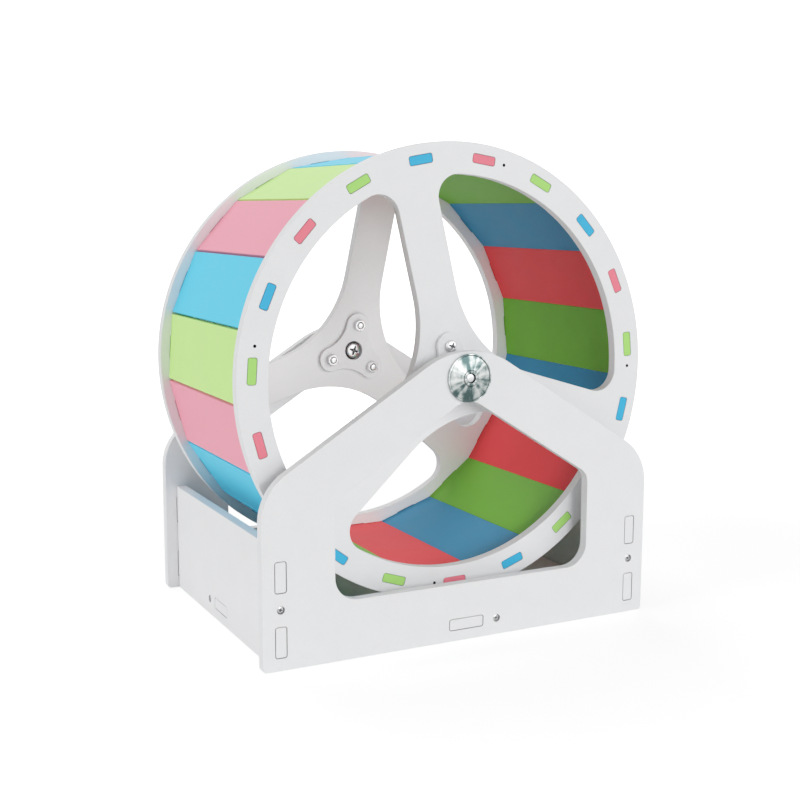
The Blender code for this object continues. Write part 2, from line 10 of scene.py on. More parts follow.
import bpy
import numpy as np
from mathutils import Matrix, Vector
from mathutils.geometry import tessellate_polygon


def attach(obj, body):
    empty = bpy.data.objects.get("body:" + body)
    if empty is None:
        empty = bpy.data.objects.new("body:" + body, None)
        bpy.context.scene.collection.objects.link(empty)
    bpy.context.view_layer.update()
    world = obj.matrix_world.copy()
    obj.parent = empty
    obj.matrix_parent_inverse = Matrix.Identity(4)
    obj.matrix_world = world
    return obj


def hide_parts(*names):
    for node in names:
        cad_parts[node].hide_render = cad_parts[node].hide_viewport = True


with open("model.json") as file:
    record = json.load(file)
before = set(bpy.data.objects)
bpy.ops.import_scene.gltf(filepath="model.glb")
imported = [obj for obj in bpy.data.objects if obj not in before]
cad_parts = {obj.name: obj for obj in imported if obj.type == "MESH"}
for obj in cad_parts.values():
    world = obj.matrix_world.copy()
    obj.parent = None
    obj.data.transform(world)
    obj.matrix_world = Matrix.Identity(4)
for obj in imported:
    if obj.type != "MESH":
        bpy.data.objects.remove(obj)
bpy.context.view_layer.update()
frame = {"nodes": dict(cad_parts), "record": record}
nodes = frame["nodes"]

# Wheel
wheel_centre = np.array([0, 0, 0.122])
wheel_radius = 0.10495
ring_inner_radius = 0.0905
disc_board = 0.005
disc_middle = 0.0555
wheel_turn = math.radians(-10.3)
spoke_count = 3
spoke_pitch = 2 * math.pi / spoke_count
spoke_width = 0.0205
hub_reach = 0.0207
window_corner = 0.010
slat_count = 19
slat_pitch = 2 * math.pi / slat_count
slat_circle = 0.098
slat_width = 0.03213
slat_board = 0.004
slat_end = 0.05296
slat_tab_end = 0.058
slat_tab = 0.0115
tab_reach = 0.0053
slot_gap = 0.0001
stand_slot_gap = 0.0002
tab_corner = 0.0009
brad_hole = 0.0007
front_first_spoke = -slat_pitch / 6
rear_first_spoke = slat_pitch * 7 / 6
front_brads = [slat_pitch * (slot + 1 / 3) for slot in (1, 5, 10, 15)]
rear_brads = [slat_pitch - turn for turn in front_brads]
slat_colours = ("blue pink green blue pink green blue pink green blue pink green "
                "blue blue pink green blue pink green").split()

# Hub plates, screws, nuts and bearings
plate_board = 0.002
plate_offset = 0.0038
plate_bore = 0.005
bolt_circle = 0.0137
lobe_radius = 0.0064
waist_radius = 0.0102
hub_screw_radius = 0.0015
hub_screw_length = 0.0136
hub_screw_seat = 0.0051
hub_nut_width = 0.0055
hub_nut_height = 0.0024
hub_nut_bevel = 0.0003
hub_nut_face = 0.96
bearing_radius = 0.0065
bearing_half_width = 0.0025
race_edge = 0.00505
bearing_corner = 0.0002
seal_bore = 0.00365
seal_face = 0.0023
seal_back = 0.0019
seal_rib_radii = (0.0046, 0.0044, 0.0041)
seal_rib_height = 0.0001

# Axle screws and flange nuts
axle_screw_radius = 0.002
axle_screw_length = 0.0211
axle_head_seat = 0.0527
flange_radius = 0.011
flange_base = 0.0003
flange_rim = 0.0012
flange_corner = 0.0003
rim_groove_outer = 0.0006
rim_groove_inner = 0.0008
rim_groove_depth = 0.0004
cone_top = 0.0017
cone_gap = 0.0005
cone_corner = 0.0004
collar_radius = 0.0034
collar_top = 0.0022
barrel_radius = 0.0031
barrel_length = 0.0137
barrel_bore = 0.0022
barrel_corner = 0.0002

# Stand
frame_board = 0.005
frame_middle = 0.0695
frame_face = 0.072
frame_half_width = 0.100006
shoulder_height = 0.078677
roof_height = 0.141167
peak_radius = 0.040
shoulder_radius = 0.025
foot_radius = 0.002
window_half_width = 0.066006
window_sill = 0.027
window_eaves = 0.072094
window_roof = 0.113339
window_peak_radius = 0.012
window_eaves_radius = 0.008
window_sill_radius = 0.011
panel_middle = 0.091506
panel_outer_face = 0.094006
panel_height = 0.054
panel_end = 0.0667
panel_tab = 0.0135
panel_tab_heights = (0.0127, 0.0415)
base_side = 0.088706
base_tab = 0.0175
base_middle = 0.0078
base_screw_place = 0.01625
panel_screw_height = 0.0271
frame_screw_places = (("left", -panel_middle, panel_screw_height),
                      ("right", panel_middle, panel_screw_height),
                      ("base", base_screw_place, base_middle))
panel_screw_radius = 0.0009
panel_screw_length = 0.010
panel_head_radius = 0.0016
panel_head_depth = 0.0012
screw_gap = 0.0002

# Screws: a head is (radius, height, share of the height that is crowned), a thread (pitch, length) and a tip
# (radius, length). The cross recess is given in shares of the head's radius, and its turn in radians. Its
# depth is a share of the head's height, and loses the share cross_rise out to the head's rim. The thread's
# depth is a share of the screw's radius, its steps are those of one turn, and the tip's dome and side are
# given in shares of the tip's radius and length.
hub_screw_form = {"head": (0.0028, 0.002, 0.6), "thread": (0.0005, 0.004), "tip": (0.0012, 0.0003)}
axle_screw_form = {"head": (0.0039, 0.0026, 0.45), "thread": (0.0007, 0.0056), "tip": (0.0016, 0.0004)}
panel_screw_form = {"head": (panel_head_radius, 0.0008, 0.5), "thread": (0.0008, 0.0056),
                    "tip": (0.0002, 0.002)}
thread_depth = 0.17
thread_steps = 8
tip_dome_reach = 0.9
tip_dome_rise = 0.3
tip_side = 0.6
cross_turn = 0.35
cross_half_width = 0.16
cross_taper = 0.08
cross_bank = 0.06
cross_reach = 0.62
cross_end_bank = 0.12
cross_depth = 0.62
cross_rise = 0.25

# How much painted shade darkens the walls of deep gaps, from nothing to one
slot_shade = 0.8
frame_slot_shade = 1
brad_shade = 1
screw_hole_shade = 0.35

# Rounding of edges, and the facets of round things
board_edge = 0.0003
plate_edge = 0.0004
metal_edge = 0.0001
arc_sag = 0.00001
coarsest_step = math.radians(15)
columns = 72
rounding_steps = 4
crown_steps = 16
dome_steps = 6
crease = math.radians(25)


# Outlines

def arc(centre, radius, start, sweep):
    """Rows on an arc: the centre plus the radius along evenly stepped angles, each heading square to it."""
    step = min(coarsest_step, math.sqrt(8 * arc_sag / radius))
    angle = start + sweep * np.linspace(0, 1, max(3, math.ceil(abs(sweep) / step)) + 1)
    x = centre[0] + radius * np.cos(angle)
    y = centre[1] + radius * np.sin(angle)
    return np.stack([x, y, angle + math.copysign(math.pi / 2, sweep)], 1)


def circle(centre, radius):
    return arc(centre, radius, 0, 2 * math.pi)[:-1]


def hole(outline):
    """An outline run the other way, so that the material lies outside it."""
    return outline[::-1] + [0, 0, math.pi]


def turned(outline, turn):
    """An outline turned clockwise about the origin."""
    x, y, heading = outline.T
    cosine, sine = math.cos(turn), math.sin(turn)
    return np.stack([x * cosine + y * sine, y * cosine - x * sine, heading - turn], 1)


def rounded(corners, closed=True):
    """A path through corners (x, y, radius): at each it swings round on an arc that touches both sides."""
    rows = []
    last = len(corners) - 1
    for i, (x, y, radius) in enumerate(corners):
        before, after = corners[i - 1], corners[(i + 1) % len(corners)]
        arrive = math.atan2(y - before[1], x - before[0])
        leave = math.atan2(after[1] - y, after[0] - x)
        if not closed and i in (0, last):
            rows.append(np.array([[x, y, leave if i == 0 else arrive]]))
            continue
        sweep = (leave - arrive + math.pi) % (2 * math.pi) - math.pi
        side = math.copysign(1, sweep)
        setback = radius * math.tan(abs(sweep) / 2)
        start = (x - setback * math.cos(arrive), y - setback * math.sin(arrive))
        centre = (start[0] - side * radius * math.sin(arrive), start[1] + side * radius * math.cos(arrive))
        rows.append(arc(centre, radius, arrive - side * math.pi / 2, sweep))
    return np.concatenate(rows)


def box(centre, width, height, corner):
    """A rectangle with round corners."""
    x, y = centre
    half, tall = width / 2, height / 2
    return rounded([(x - half, y - tall, corner), (x + half, y - tall, corner),
                    (x + half, y + tall, corner), (x - half, y + tall, corner)])


def slot_outline(centre, width, height, gap):
    """A milled slot round a tab of this width and height, with a gap on all sides."""
    return hole(box(centre, width + 2 * gap, height + 2 * gap, tab_corner + gap))


def fitted_hole(centre, radius):
    """A round hole for a screw, a bearing or a barrel of this radius, with a gap round it."""
    return hole(circle(centre, radius + screw_gap))


# Meshes

def add_piece(name, node, body, points, faces, normals, materials, face_material=None, marks=None):
    """A piece from whole arrays: points, faces of three or four corners, and a normal for each point.

    Without normals, edges that turn by more than the crease angle are sharp. Marks are values at the points,
    which a finish reads by their label.
    """
    mesh = bpy.data.meshes.new(name)
    mesh.from_pydata(points, [], [face for group in faces for face in group.tolist()])
    mesh.polygons.foreach_set("use_smooth", np.ones(len(mesh.polygons), bool))
    if face_material is not None:
        mesh.polygons.foreach_set("material_index", face_material)
    for label, values in (marks or {}).items():
        mesh.attributes.new(label, "FLOAT", "POINT").data.foreach_set("value", values)
    for material in materials:
        mesh.materials.append(material)
    if normals is None:
        mesh.set_sharp_from_angle(angle=crease)
    else:
        mesh.normals_split_custom_set_from_vertices(normals)
    piece = bpy.data.objects.new(name, mesh)
    bpy.context.scene.collection.objects.link(piece)
    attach(piece, body)
    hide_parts(node)


def grid_faces(rows, across, closed_rows=False):
    """Quads between neighbouring rows of a grid whose every row closes on itself."""
    row = np.arange(rows if closed_rows else rows - 1)[:, None]
    along = np.arange(across)[None, :]
    after, above = (along + 1) % across, (row + 1) % rows
    corners = [row * across + along, row * across + after, above * across + after, above * across + along]
    return np.stack(corners, -1).reshape(-1, 4)


def edge_wall(thickness, ease):
    """A board's wall from top face to bottom face, as rows (inset, height, lean): round, straight, round."""
    swing = np.linspace(0, math.pi / 2, rounding_steps)
    inset, drop = 1 - np.sin(swing), 1 - np.cos(swing)
    half = thickness / 2
    top = [(ease * i, half - ease * d, a) for i, d, a in zip(inset, drop, swing)]
    return top + [(i, -height, math.pi - a) for i, height, a in reversed(top)]


def sunk_wall(thickness, wide, narrow, depth, side):
    """A hole's wall that is wide down to depth from one side of the board, to take a screw's head."""
    half, step, upright_lean = thickness / 2, wide - narrow, math.pi / 2
    rows = [(metal_edge, half, 0), (0, half - metal_edge, upright_lean), (0, half - depth, upright_lean),
            (0, half - depth, 0), (-step, half - depth, 0), (-step, half - depth, upright_lean),
            (-step, -half, upright_lean), (-step, -half, math.pi)]
    if side > 0:
        return rows
    return [(inset, -height, math.pi - lean) for inset, height, lean in reversed(rows)]


def board_shell(loops, axes, thickness, walls=None, dark=None):
    """A board's closed shell: each outline carries a wall round it, and flat faces close both sides.

    A wall point is the outline's point, less its inset times the outward normal, at its height above the
    middle. Some walls, in deep gaps, get painted shade by a share from nothing to one. The shell is a tuple
    of its points, faces and normals, how far each point is part of a cut edge, and its share of painted
    shade.
    """
    origin, across, up, out = [np.array(axis, float) for axis in axes]
    points, normals, cuts, darks, faces = [], [], [], [], []
    first, tops, bottoms = 0, [], []
    for number, loop in enumerate(loops):
        wall = (walls or {}).get(number) or edge_wall(thickness, board_edge)
        normal = np.stack([np.sin(loop[:, 2]), -np.cos(loop[:, 2])], 1)
        for inset, height, lean in wall:
            flat = loop[:, :2] - inset * normal
            points.append(origin + flat[:, :1] * across + flat[:, 1:] * up + height * out)
            side = normal[:, :1] * across + normal[:, 1:] * up
            normals.append(math.sin(lean) * side + math.cos(lean) * out)
            cuts.append(np.full(len(loop), math.sin(lean) ** 2))
            darks.append(np.full(len(loop), (dark or {}).get(number, 0) * math.sin(lean) ** 2))
        count = len(loop) * len(wall)
        faces.append(first + grid_faces(len(wall), len(loop))[:, ::-1])
        tops.append(np.arange(first, first + len(loop)))
        bottoms.append(np.arange(first + count - len(loop), first + count))
        first += count
    points = np.concatenate(points)
    flat = np.stack([(points - origin) @ across, (points - origin) @ up], 1)
    for rims, facing in ((tops, 1), (bottoms, -1)):
        corners = [[Vector((*flat[i], 0)) for i in loop] for loop in rims]
        triangles = np.concatenate(rims)[np.array(tessellate_polygon(corners))]
        a, b, c = (flat[triangles[:, i]] for i in range(3))
        area = (b[:, 0] - a[:, 0]) * (c[:, 1] - a[:, 1]) - (b[:, 1] - a[:, 1]) * (c[:, 0] - a[:, 0])
        wrong = area * facing < 0
        triangles[wrong] = triangles[wrong][:, ::-1]
        faces.append(triangles)
    return points, faces, np.concatenate(normals), np.concatenate(cuts), np.concatenate(darks)


def board(name, body, material, shells):
    """A board made of one shell, or of a body and tabs, whose shells meet where the joints hide them."""
    faces, first = [], 0
    for shell in shells:
        faces += [first + group for group in shell[1]]
        first += len(shell[0])
    points, normals, cuts, darks = (np.concatenate([shell[i] for shell in shells]) for i in (0, 2, 3, 4))
    # The dark mark is each point's share of painted shade
    marks = {"cut": cuts, "dark": darks}
    add_piece("shown_" + name, name, body, points, faces, normals, [material], None, marks)


def tab_shell(place, along, section, start, end):
    """A tab: its section, with the corners of a milled slot, drawn out along an axis from start to end."""
    along = np.array(along, float)
    width, height, across, up = section
    middle = np.array(place, float) + along * (start + end) / 2
    return board_shell([box((0, 0), width, height, tab_corner)], (middle, across, up, along), end - start)


def revolved(name, body, materials, radius, height, axes, ring=False, face_rows=None, creased=False,
             recess=None):
    """A turned piece: each row has a radius times the cosine and sine of the angle, and a height on the axis.

    Both may vary with the angle. A ring's last row joins its first one, and any other piece ends in two
    poles. Face rows say which material each row of a ring's faces has. A recess gives each point of a piece
    with poles its share of painted shade.
    """
    origin, across, up, out = [np.array(axis, float) for axis in axes]
    angle = np.arange(columns) * 2 * math.pi / columns
    radius = np.broadcast_to(np.reshape(radius, (len(radius), -1)), (len(radius), columns))
    height = np.broadcast_to(np.reshape(height, (len(height), -1)), (len(height), columns))
    flat = (radius * np.cos(angle))[..., None] * across + (radius * np.sin(angle))[..., None] * up
    points = origin + flat + height[..., None] * out
    round_way = np.roll(points, -1, 1) - np.roll(points, 1, 1)
    if ring:
        along = np.roll(points, -1, 0) - np.roll(points, 1, 0)
    else:
        along = np.gradient(points, axis=0)
    normals = np.cross(round_way, along)
    normals /= np.maximum(np.linalg.norm(normals, axis=2), 1e-15)[..., None]
    rows = len(points)
    if ring:
        faces = [grid_faces(rows, columns, True)]
        points, normals = points.reshape(-1, 3), normals.reshape(-1, 3)
    else:
        inner = (rows - 2) * columns
        here, after = np.arange(columns), (np.arange(columns) + 1) % columns
        low = np.stack([np.full(columns, inner), after, here], 1)
        high = np.stack([np.full(columns, inner + 1), here, after], 1)
        high[:, 1:] += (rows - 3) * columns
        faces = [grid_faces(rows - 2, columns), low, high]
        points = np.concatenate([points[1:-1].reshape(-1, 3), points[[0, -1], 0]])
        normals = np.concatenate([normals[1:-1].reshape(-1, 3), [-out, out]])
    marks = None
    # A recess carries its painted shade as the dark mark
    if recess is not None:
        marks = {"dark": np.append(recess[1:-1].ravel(), recess[[0, -1], 0])}
    face_material = np.zeros(sum(len(group) for group in faces), int)
    if face_rows is not None:
        face_material[:len(faces[0])] = np.repeat(face_rows, columns)
    if creased:
        normals = None
    add_piece("shown_" + name, name, body, points, faces, normals, materials, face_material, marks)


# Shader maths

class Socket:
    """A node's output. Sums, products and comparisons of it add the Math nodes that work them out."""

    def __init__(self, tree, output=None):
        self.tree = tree
        self.output = output

    def node(self, kind, settings=None, values=None, output=0):
        """A new node: its settings come first, and then its inputs, each a value or a socket to link."""
        made = self.tree.nodes.new(kind)
        for name, value in (settings or {}).items():
            if name == "stops":
                set_stops(made.color_ramp, value)
            else:
                setattr(made, name, value)
        for name, value in (values or {}).items():
            if isinstance(value, Socket):
                self.tree.links.new(value.output, made.inputs[name])
            else:
                made.inputs[name].default_value = value
        return Socket(self.tree, made.outputs[output])

    def maths(self, operation, *values):
        return self.node("ShaderNodeMath", {"operation": operation}, dict(enumerate(values)))

    def vector(self, operation, *values, output="Vector"):
        return self.node("ShaderNodeVectorMath", {"operation": operation}, dict(enumerate(values)), output)

    def __add__(self, other):
        return self.maths("ADD", self, other)

    def __radd__(self, other):
        return self.maths("ADD", other, self)

    def __sub__(self, other):
        return self.maths("SUBTRACT", self, other)

    def __rsub__(self, other):
        return self.maths("SUBTRACT", other, self)

    def __mul__(self, other):
        return self.maths("MULTIPLY", self, other)

    def __rmul__(self, other):
        return self.maths("MULTIPLY", other, self)

    def __gt__(self, other):
        return self.maths("GREATER_THAN", self, other)


def set_stops(ramp, stops):
    """Puts stops (place, colour) on a colour ramp."""
    while len(ramp.elements) < len(stops):
        ramp.elements.new(0.5)
    for element, (place, colour) in zip(ramp.elements, stops):
        element.position = place
        element.color = colour


def new_finish(name, metallic=0.0):
    """An empty material: its Principled shader, and a socket that starts its tree."""
    material = bpy.data.materials.new(name)
    material.use_nodes = True
    shader = material.node_tree.nodes["Principled BSDF"]
    shader.inputs["Metallic"].default_value = metallic
    return material, shader, Socket(material.node_tree)


def wire(material, shader, colour=None, roughness=None, normal=None):
    """Links what varies over the surface to the shader."""
    for name, socket in (("Base Color", colour), ("Roughness", roughness), ("Normal", normal)):
        if socket is not None:
            material.node_tree.links.new(socket.output, shader.inputs[name])


def object_place(start):
    return start.node("ShaderNodeTexCoord", output="Object")


def mark(start, label):
    """A value that a piece carries at its points, or nothing where it carries none."""
    return start.node("ShaderNodeAttribute", {"attribute_name": label}, output="Fac")


def blend(start, factor, first, second):
    """A colour between two others."""
    return start.node("ShaderNodeMix", {"data_type": "RGBA"}, {0: factor, 6: first, 7: second}, 2)


def noise(start, place, scale, detail=2.0, roughness=0.5):
    values = {"Vector": place, "Scale": scale, "Detail": detail, "Roughness": roughness}
    return start.node("ShaderNodeTexNoise", None, values)


def scaled(start, colour, tone):
    return start.node("ShaderNodeVectorMath", {"operation": "SCALE"}, {0: colour, "Scale": tone})


def bumps(start, height, strength, distance):
    return start.node("ShaderNodeBump", None, {"Strength": strength, "Distance": distance, "Height": height})


def from_axle(start, place):
    """A point's offset from the axle, square to it."""
    return start.vector("MULTIPLY", start.vector("SUBTRACT", place, tuple(wheel_centre)), (1, 0, 1))


def between(value, low, high):
    """One where a value lies between two limits, and nothing elsewhere."""
    return (value > low) * (1 - (value > high))


# Finishes

# Near-black colours of painted shade: in deep gaps, in screws' recesses and in the flange nut's grooves
gap_shade_black = (0.02, 0.02, 0.02, 1)
recess_shade_black = (0.03, 0.03, 0.03, 1)
groove_shade_black = (0.05, 0.06, 0.06, 1)
paper_white = (0.93, 0.93, 0.93)
rubber_black = (0.02, 0.02, 0.022)

# How far past a slat's middle layer and past its ends its painted light and shade change, where the flange
# nut's grooves get painted shade (inward from the rim, outward from the collar), how strongly the floor
# glows, and from where to where it fades
light_shade_margin = 0.0006
rim_shade = (0.001, 0.00062)
collar_shade = 0.00045
floor_glow = 0.47
floor_fade = (0.25, 0.8)


def board_finish(name, colour, roughness, gloss=0.5):
    """Foamed board: a calendered skin with a faint orange peel, and open pores where it was cut.

    Its colour is fixed, or worked out by a function of the place on the board, which for a slat paints light
    and shade. Deep gaps get painted shade, nearly black.
    """
    material, shader, start = new_finish(name)
    shader.inputs["Specular IOR Level"].default_value = gloss
    place = object_place(start)
    cut = mark(start, "cut")
    clouds = noise(start, place, 70, 3.0)
    peel = noise(start, place, 900)
    pores = start.node("ShaderNodeTexVoronoi", None, {"Vector": place, "Scale": 2600.0})
    tint = colour(start, place) if callable(colour) else colour
    tone = 0.925 + 0.07 * clouds + 0.065 * peel - 0.06 * cut * (1 - pores) - 0.02 * cut
    # Painted shade: the walls of deep gaps are blended towards near black
    shade = blend(start, mark(start, "dark"), scaled(start, tint, tone), gap_shade_black)
    relief = bumps(start, peel * 0.4 + pores * cut * 0.8, 0.5, 0.00012)
    wire(material, shader, shade, roughness + 0.12 * clouds + 0.15 * cut, relief)
    return material


def slat_finish(name, inner, outer, tab):
    """A slat's board of one colour in painted light and shade: shaded on the running side, lit on the back,
    and between on the ends of its tabs.
    """
    def colour(start, place):
        reach = start.vector("LENGTH", from_axle(start, place), output="Value")
        along = start.maths("ABSOLUTE", start.vector("DOT_PRODUCT", place, (0, 1, 0), output="Value"))
        # Painted shade on the running side inside the drum, painted light on the back outside it
        faces = blend(start, reach > slat_circle + light_shade_margin, (*inner, 1), (*outer, 1))
        # The ends of the tabs get a painted tone between shade and light
        return blend(start, along > slat_end + light_shade_margin, faces, (*tab, 1))
    return board_finish(name, colour, 0.46, 0.22)


def metal_finish(name, colour, roughness, grain):
    """Plated steel: patches of slightly different shine and fine scratches, and painted shade in a screw's
    recess.
    """
    material, shader, start = new_finish(name, 1.0)
    place = object_place(start)
    patches = noise(start, place, 400, 3.0)
    scratches = bumps(start, noise(start, place, grain, 4.0, 0.7), 0.15, 0.00002)
    # Painted shade in a screw's cross recess, blended towards near black
    toned = blend(start, 0.9 * mark(start, "dark"), scaled(start, colour, 0.9 + 0.2 * patches), recess_shade_black)
    wire(material, shader, toned, roughness + 0.2 * patches, scratches)
    return material


def chrome_finish(name):
    """Chromed turned steel: a painted reflection of wide dark and bright wedges round the axle.

    The painted reflection is darker up and down than sideways, and uneven. Painted shade darkens the groove
    inside the rim, the ring round the collar and the bore.
    """
    material, shader, start = new_finish(name, 1.0)
    flat = from_axle(start, object_place(start))
    way = start.vector("NORMALIZE", flat)
    reach = start.vector("LENGTH", flat, output="Value")
    level = start.vector("DOT_PRODUCT", way, (1, 0, 0), output="Value")
    # Painted reflection: wide wedges of mirrored light and dark round the axle, darker up and down than
    # sideways
    wedges = noise(start, start.vector("ADD", way, (3.1, 0, 1.7)), 2.3, 1.0)
    streaks = noise(start, way, 6.0)
    spots = noise(start, flat, 330)
    reflection_star = 0.2 * level * level + 1.3 * wedges + 0.3 * streaks + 0.75 * spots - 0.69
    stops = [(0.40, (0.06, 0.10, 0.10, 1)), (0.50, (0.17, 0.23, 0.22, 1)), (0.57, (0.32, 0.37, 0.36, 1)),
             (0.64, (0.45, 0.50, 0.49, 1)), (0.85, (0.72, 0.75, 0.74, 1))]
    colour = start.node("ShaderNodeValToRGB", {"stops": stops}, {"Fac": reflection_star})
    # Painted shade in the groove inside the rim, round the collar and in the bore
    rim_groove_shade = between(reach, flange_radius - rim_shade[0], flange_radius - rim_shade[1])
    collar_groove_shade = between(reach, collar_radius, collar_radius + collar_shade)
    bore = 1 - (reach > barrel_bore + metal_edge)
    groove_shaded = blend(start, 0.8 * rim_groove_shade + 0.7 * collar_groove_shade + bore, colour, groove_shade_black)
    wire(material, shader, groove_shaded, 0.12 + 0.2 * wedges, bumps(start, wedges, 0.15, 0.0002))
    return material


def rubber_finish(name):
    material, shader, start = new_finish(name)
    grain = noise(start, object_place(start), 3000)
    colour = scaled(start, rubber_black, 0.7 + 0.6 * grain)
    wire(material, shader, colour, 0.45 + 0.2 * grain, bumps(start, grain, 0.2, 0.00003))
    return material


def floor_finish(name):
    """Seamless white paper that fades into the backdrop away from the wheel.

    It glows a little where the camera sees it, and not where it lights the wheel.
    """
    material, shader, start = new_finish(name)
    place = object_place(start)
    fibres = noise(start, place, 900, 3.0)
    away = start.vector("LENGTH", place, output="Value")
    near, far = floor_fade
    fading = {"Value": away, "From Min": near, "From Max": far, "To Min": 1.0, "To Max": 0.0}
    fade = start.node("ShaderNodeMapRange", {"interpolation_type": "SMOOTHSTEP"}, fading)
    wire(material, shader, scaled(start, paper_white, 0.98 + 0.04 * fibres), 0.6 + 0.2 * fibres)
    seen = start.node("ShaderNodeLightPath")
    material.node_tree.links.new(fade.output, shader.inputs["Alpha"])
    material.node_tree.links.new(seen.output, shader.inputs["Emission Color"])
    shader.inputs["Emission Strength"].default_value = floor_glow
    return material


white_board = board_finish("white foamed board", (0.875, 0.885, 0.90), 0.26)
# Each slat colour is one board, given three times: painted shade inside the drum, painted light outside it,
# and a tone between on the tabs' ends
slat_finishes = {
    "blue": slat_finish("blue foamed board", (0.024, 0.235, 0.45), (0.10, 0.66, 0.98), (0.04, 0.43, 0.79)),
    "pink": slat_finish("pink foamed board", (0.90, 0.055, 0.065), (0.98, 0.33, 0.43), (0.95, 0.19, 0.25)),
    "green": slat_finish("green foamed board", (0.145, 0.44, 0.03), (0.58, 0.95, 0.28), (0.37, 0.77, 0.16)),
}
white_plate = board_finish("white hub plate", (0.87, 0.88, 0.905), 0.2)
zinc_steel = metal_finish("zinc plated steel", (0.72, 0.72, 0.73), 0.24, 2500)
dull_steel = metal_finish("dull zinc plated steel", (0.52, 0.52, 0.525), 0.2, 2500)
ball_steel = metal_finish("polished bearing steel", (0.66, 0.66, 0.68), 0.08, 4000)
chrome = chrome_finish("chromed flange")
seal_rubber = rubber_finish("black seal rubber")
finishes = {
    "white_board": white_board, "white_plate": white_plate, "bright_steel": zinc_steel, "chrome": chrome,
    "bearing_balls": ball_steel,
    **{f"{colour}_board": finish for colour, finish in slat_finishes.items()},
}


# Wheel

def upright(side, reach):
    """The axes of a board that faces the front or the rear, as far out as reach on that side."""
    return (0, side * reach, wheel_centre[2]), (1, 0, 0), (0, 0, 1), (0, -1, 0)


def axle_axes(side, reach, x=0.0, z=0.0):
    """The axes of a turned piece at a reach from the middle, which points to the rear where side is one."""
    return (x, reach, wheel_centre[2] + z), (-side, 0, 0), (0, 0, 1), (0, side, 0)


def window_outline():
    """A disc's window between two spokes: two corners, the ring between them, and a round end at the hub."""
    half_spoke, half_turn = spoke_width / 2, spoke_pitch / 2
    along = np.array([math.sin(half_turn), math.cos(half_turn)])
    inward = np.array([-math.cos(half_turn), math.sin(half_turn)])
    lift = 1 / math.sin(half_turn)
    root = (hub_reach - half_spoke * lift) / (lift - 1)
    run = math.sqrt((ring_inner_radius - window_corner) ** 2 - (half_spoke + window_corner) ** 2)
    centre = run * along + (half_spoke + window_corner) * inward
    outward = math.atan2(centre[1], centre[0])
    to_spoke = math.atan2(-inward[1], -inward[0])
    right = arc(centre, window_corner, to_spoke, outward - to_spoke)
    ring = arc((0, 0), ring_inner_radius, outward, math.pi - 2 * outward)
    left = right[::-1] * [-1, 1, -1]
    end = arc((0, (half_spoke + root) * lift), root, -math.pi - to_spoke, math.pi - 2 * half_turn)
    return np.concatenate([right, ring[1:-1], left, end])


def make_discs():
    """The discs, each with three windows, the tabs' slots, bolt holes, the bearing's hole and brad holes."""
    for name, side, first, brads in (("wheel_front_disc", -1, front_first_spoke, front_brads),
                                     ("wheel_rear_disc", 1, rear_first_spoke, rear_brads)):
        spokes = [wheel_turn + first + spoke_pitch * i for i in range(spoke_count)]
        loops = [circle((0, 0), wheel_radius)]
        loops += [turned(hole(window_outline()), spoke + spoke_pitch / 2) for spoke in spokes]
        slots = range(len(loops), len(loops) + slat_count)
        slot = slot_outline((0, slat_circle), slat_tab, slat_board, slot_gap)
        loops += [turned(slot, wheel_turn + slat_pitch * i) for i in range(slat_count)]
        bolt = fitted_hole((0, bolt_circle), hub_screw_radius)
        loops += [turned(bolt, spoke) for spoke in spokes]
        loops.append(fitted_hole((0, 0), bearing_radius))
        nails = range(len(loops), len(loops) + len(brads))
        nail = hole(circle((0, slat_circle), brad_hole))
        loops += [turned(nail, wheel_turn + turn) for turn in brads]
        walls = {number: edge_wall(disc_board, metal_edge) for number in nails}
        # Painted shade on the walls of the slots and the brad holes
        dark = {**dict.fromkeys(slots, slot_shade), **dict.fromkeys(nails, brad_shade)}
        shell = board_shell(loops, upright(side, disc_middle), disc_board, walls, dark)
        board(name, "wheel", white_board, [shell])


def make_slats():
    """Flat slats round the wheel, each with a tab at both ends that fills the discs' slots."""
    outline = box((0, 0), slat_width, 2 * slat_end, board_edge)
    for i, colour in enumerate(slat_colours):
        turn = wheel_turn + slat_pitch * i
        out = np.array([math.sin(turn), 0, math.cos(turn)])
        tangent = (math.cos(turn), 0, -math.sin(turn))
        middle = wheel_centre + slat_circle * out
        shells = [board_shell([outline], (middle, tangent, (0, 1, 0), out), slat_board)]
        for side in (-1, 1):
            section = (slat_tab, slat_board, np.multiply(tangent, -side), out)
            shells.append(tab_shell(middle, (0, side, 0), section, slat_end - board_edge, slat_tab_end))
        board(f"slat_{i + 1:02d}", "wheel", slat_finishes[colour], shells)


# Hubs

def plate_outline(first):
    """A hub plate's edge: three round lobes on the bolt circle, joined by hollow sides that touch them."""
    inset = lobe_radius - waist_radius
    reach = (bolt_circle ** 2 - inset ** 2) / (bolt_circle + 2 * inset)
    hollow = (reach * math.sin(spoke_pitch / 2), reach * math.cos(spoke_pitch / 2))
    lean = math.atan2(hollow[1] - bolt_circle, hollow[0])
    half_hollow = (math.pi - spoke_pitch) / 2 - lean
    waist = 3 * math.pi / 2 - spoke_pitch / 2
    lobe = arc((0, bolt_circle), lobe_radius, lean, math.pi - 2 * lean)
    side = arc(hollow, reach - waist_radius, waist + half_hollow, -2 * half_hollow)[1:-1]
    edge = []
    for i in range(spoke_count):
        edge += [turned(lobe, first - spoke_pitch * i), turned(side, first - spoke_pitch * (i + 1))]
    return np.concatenate(edge)


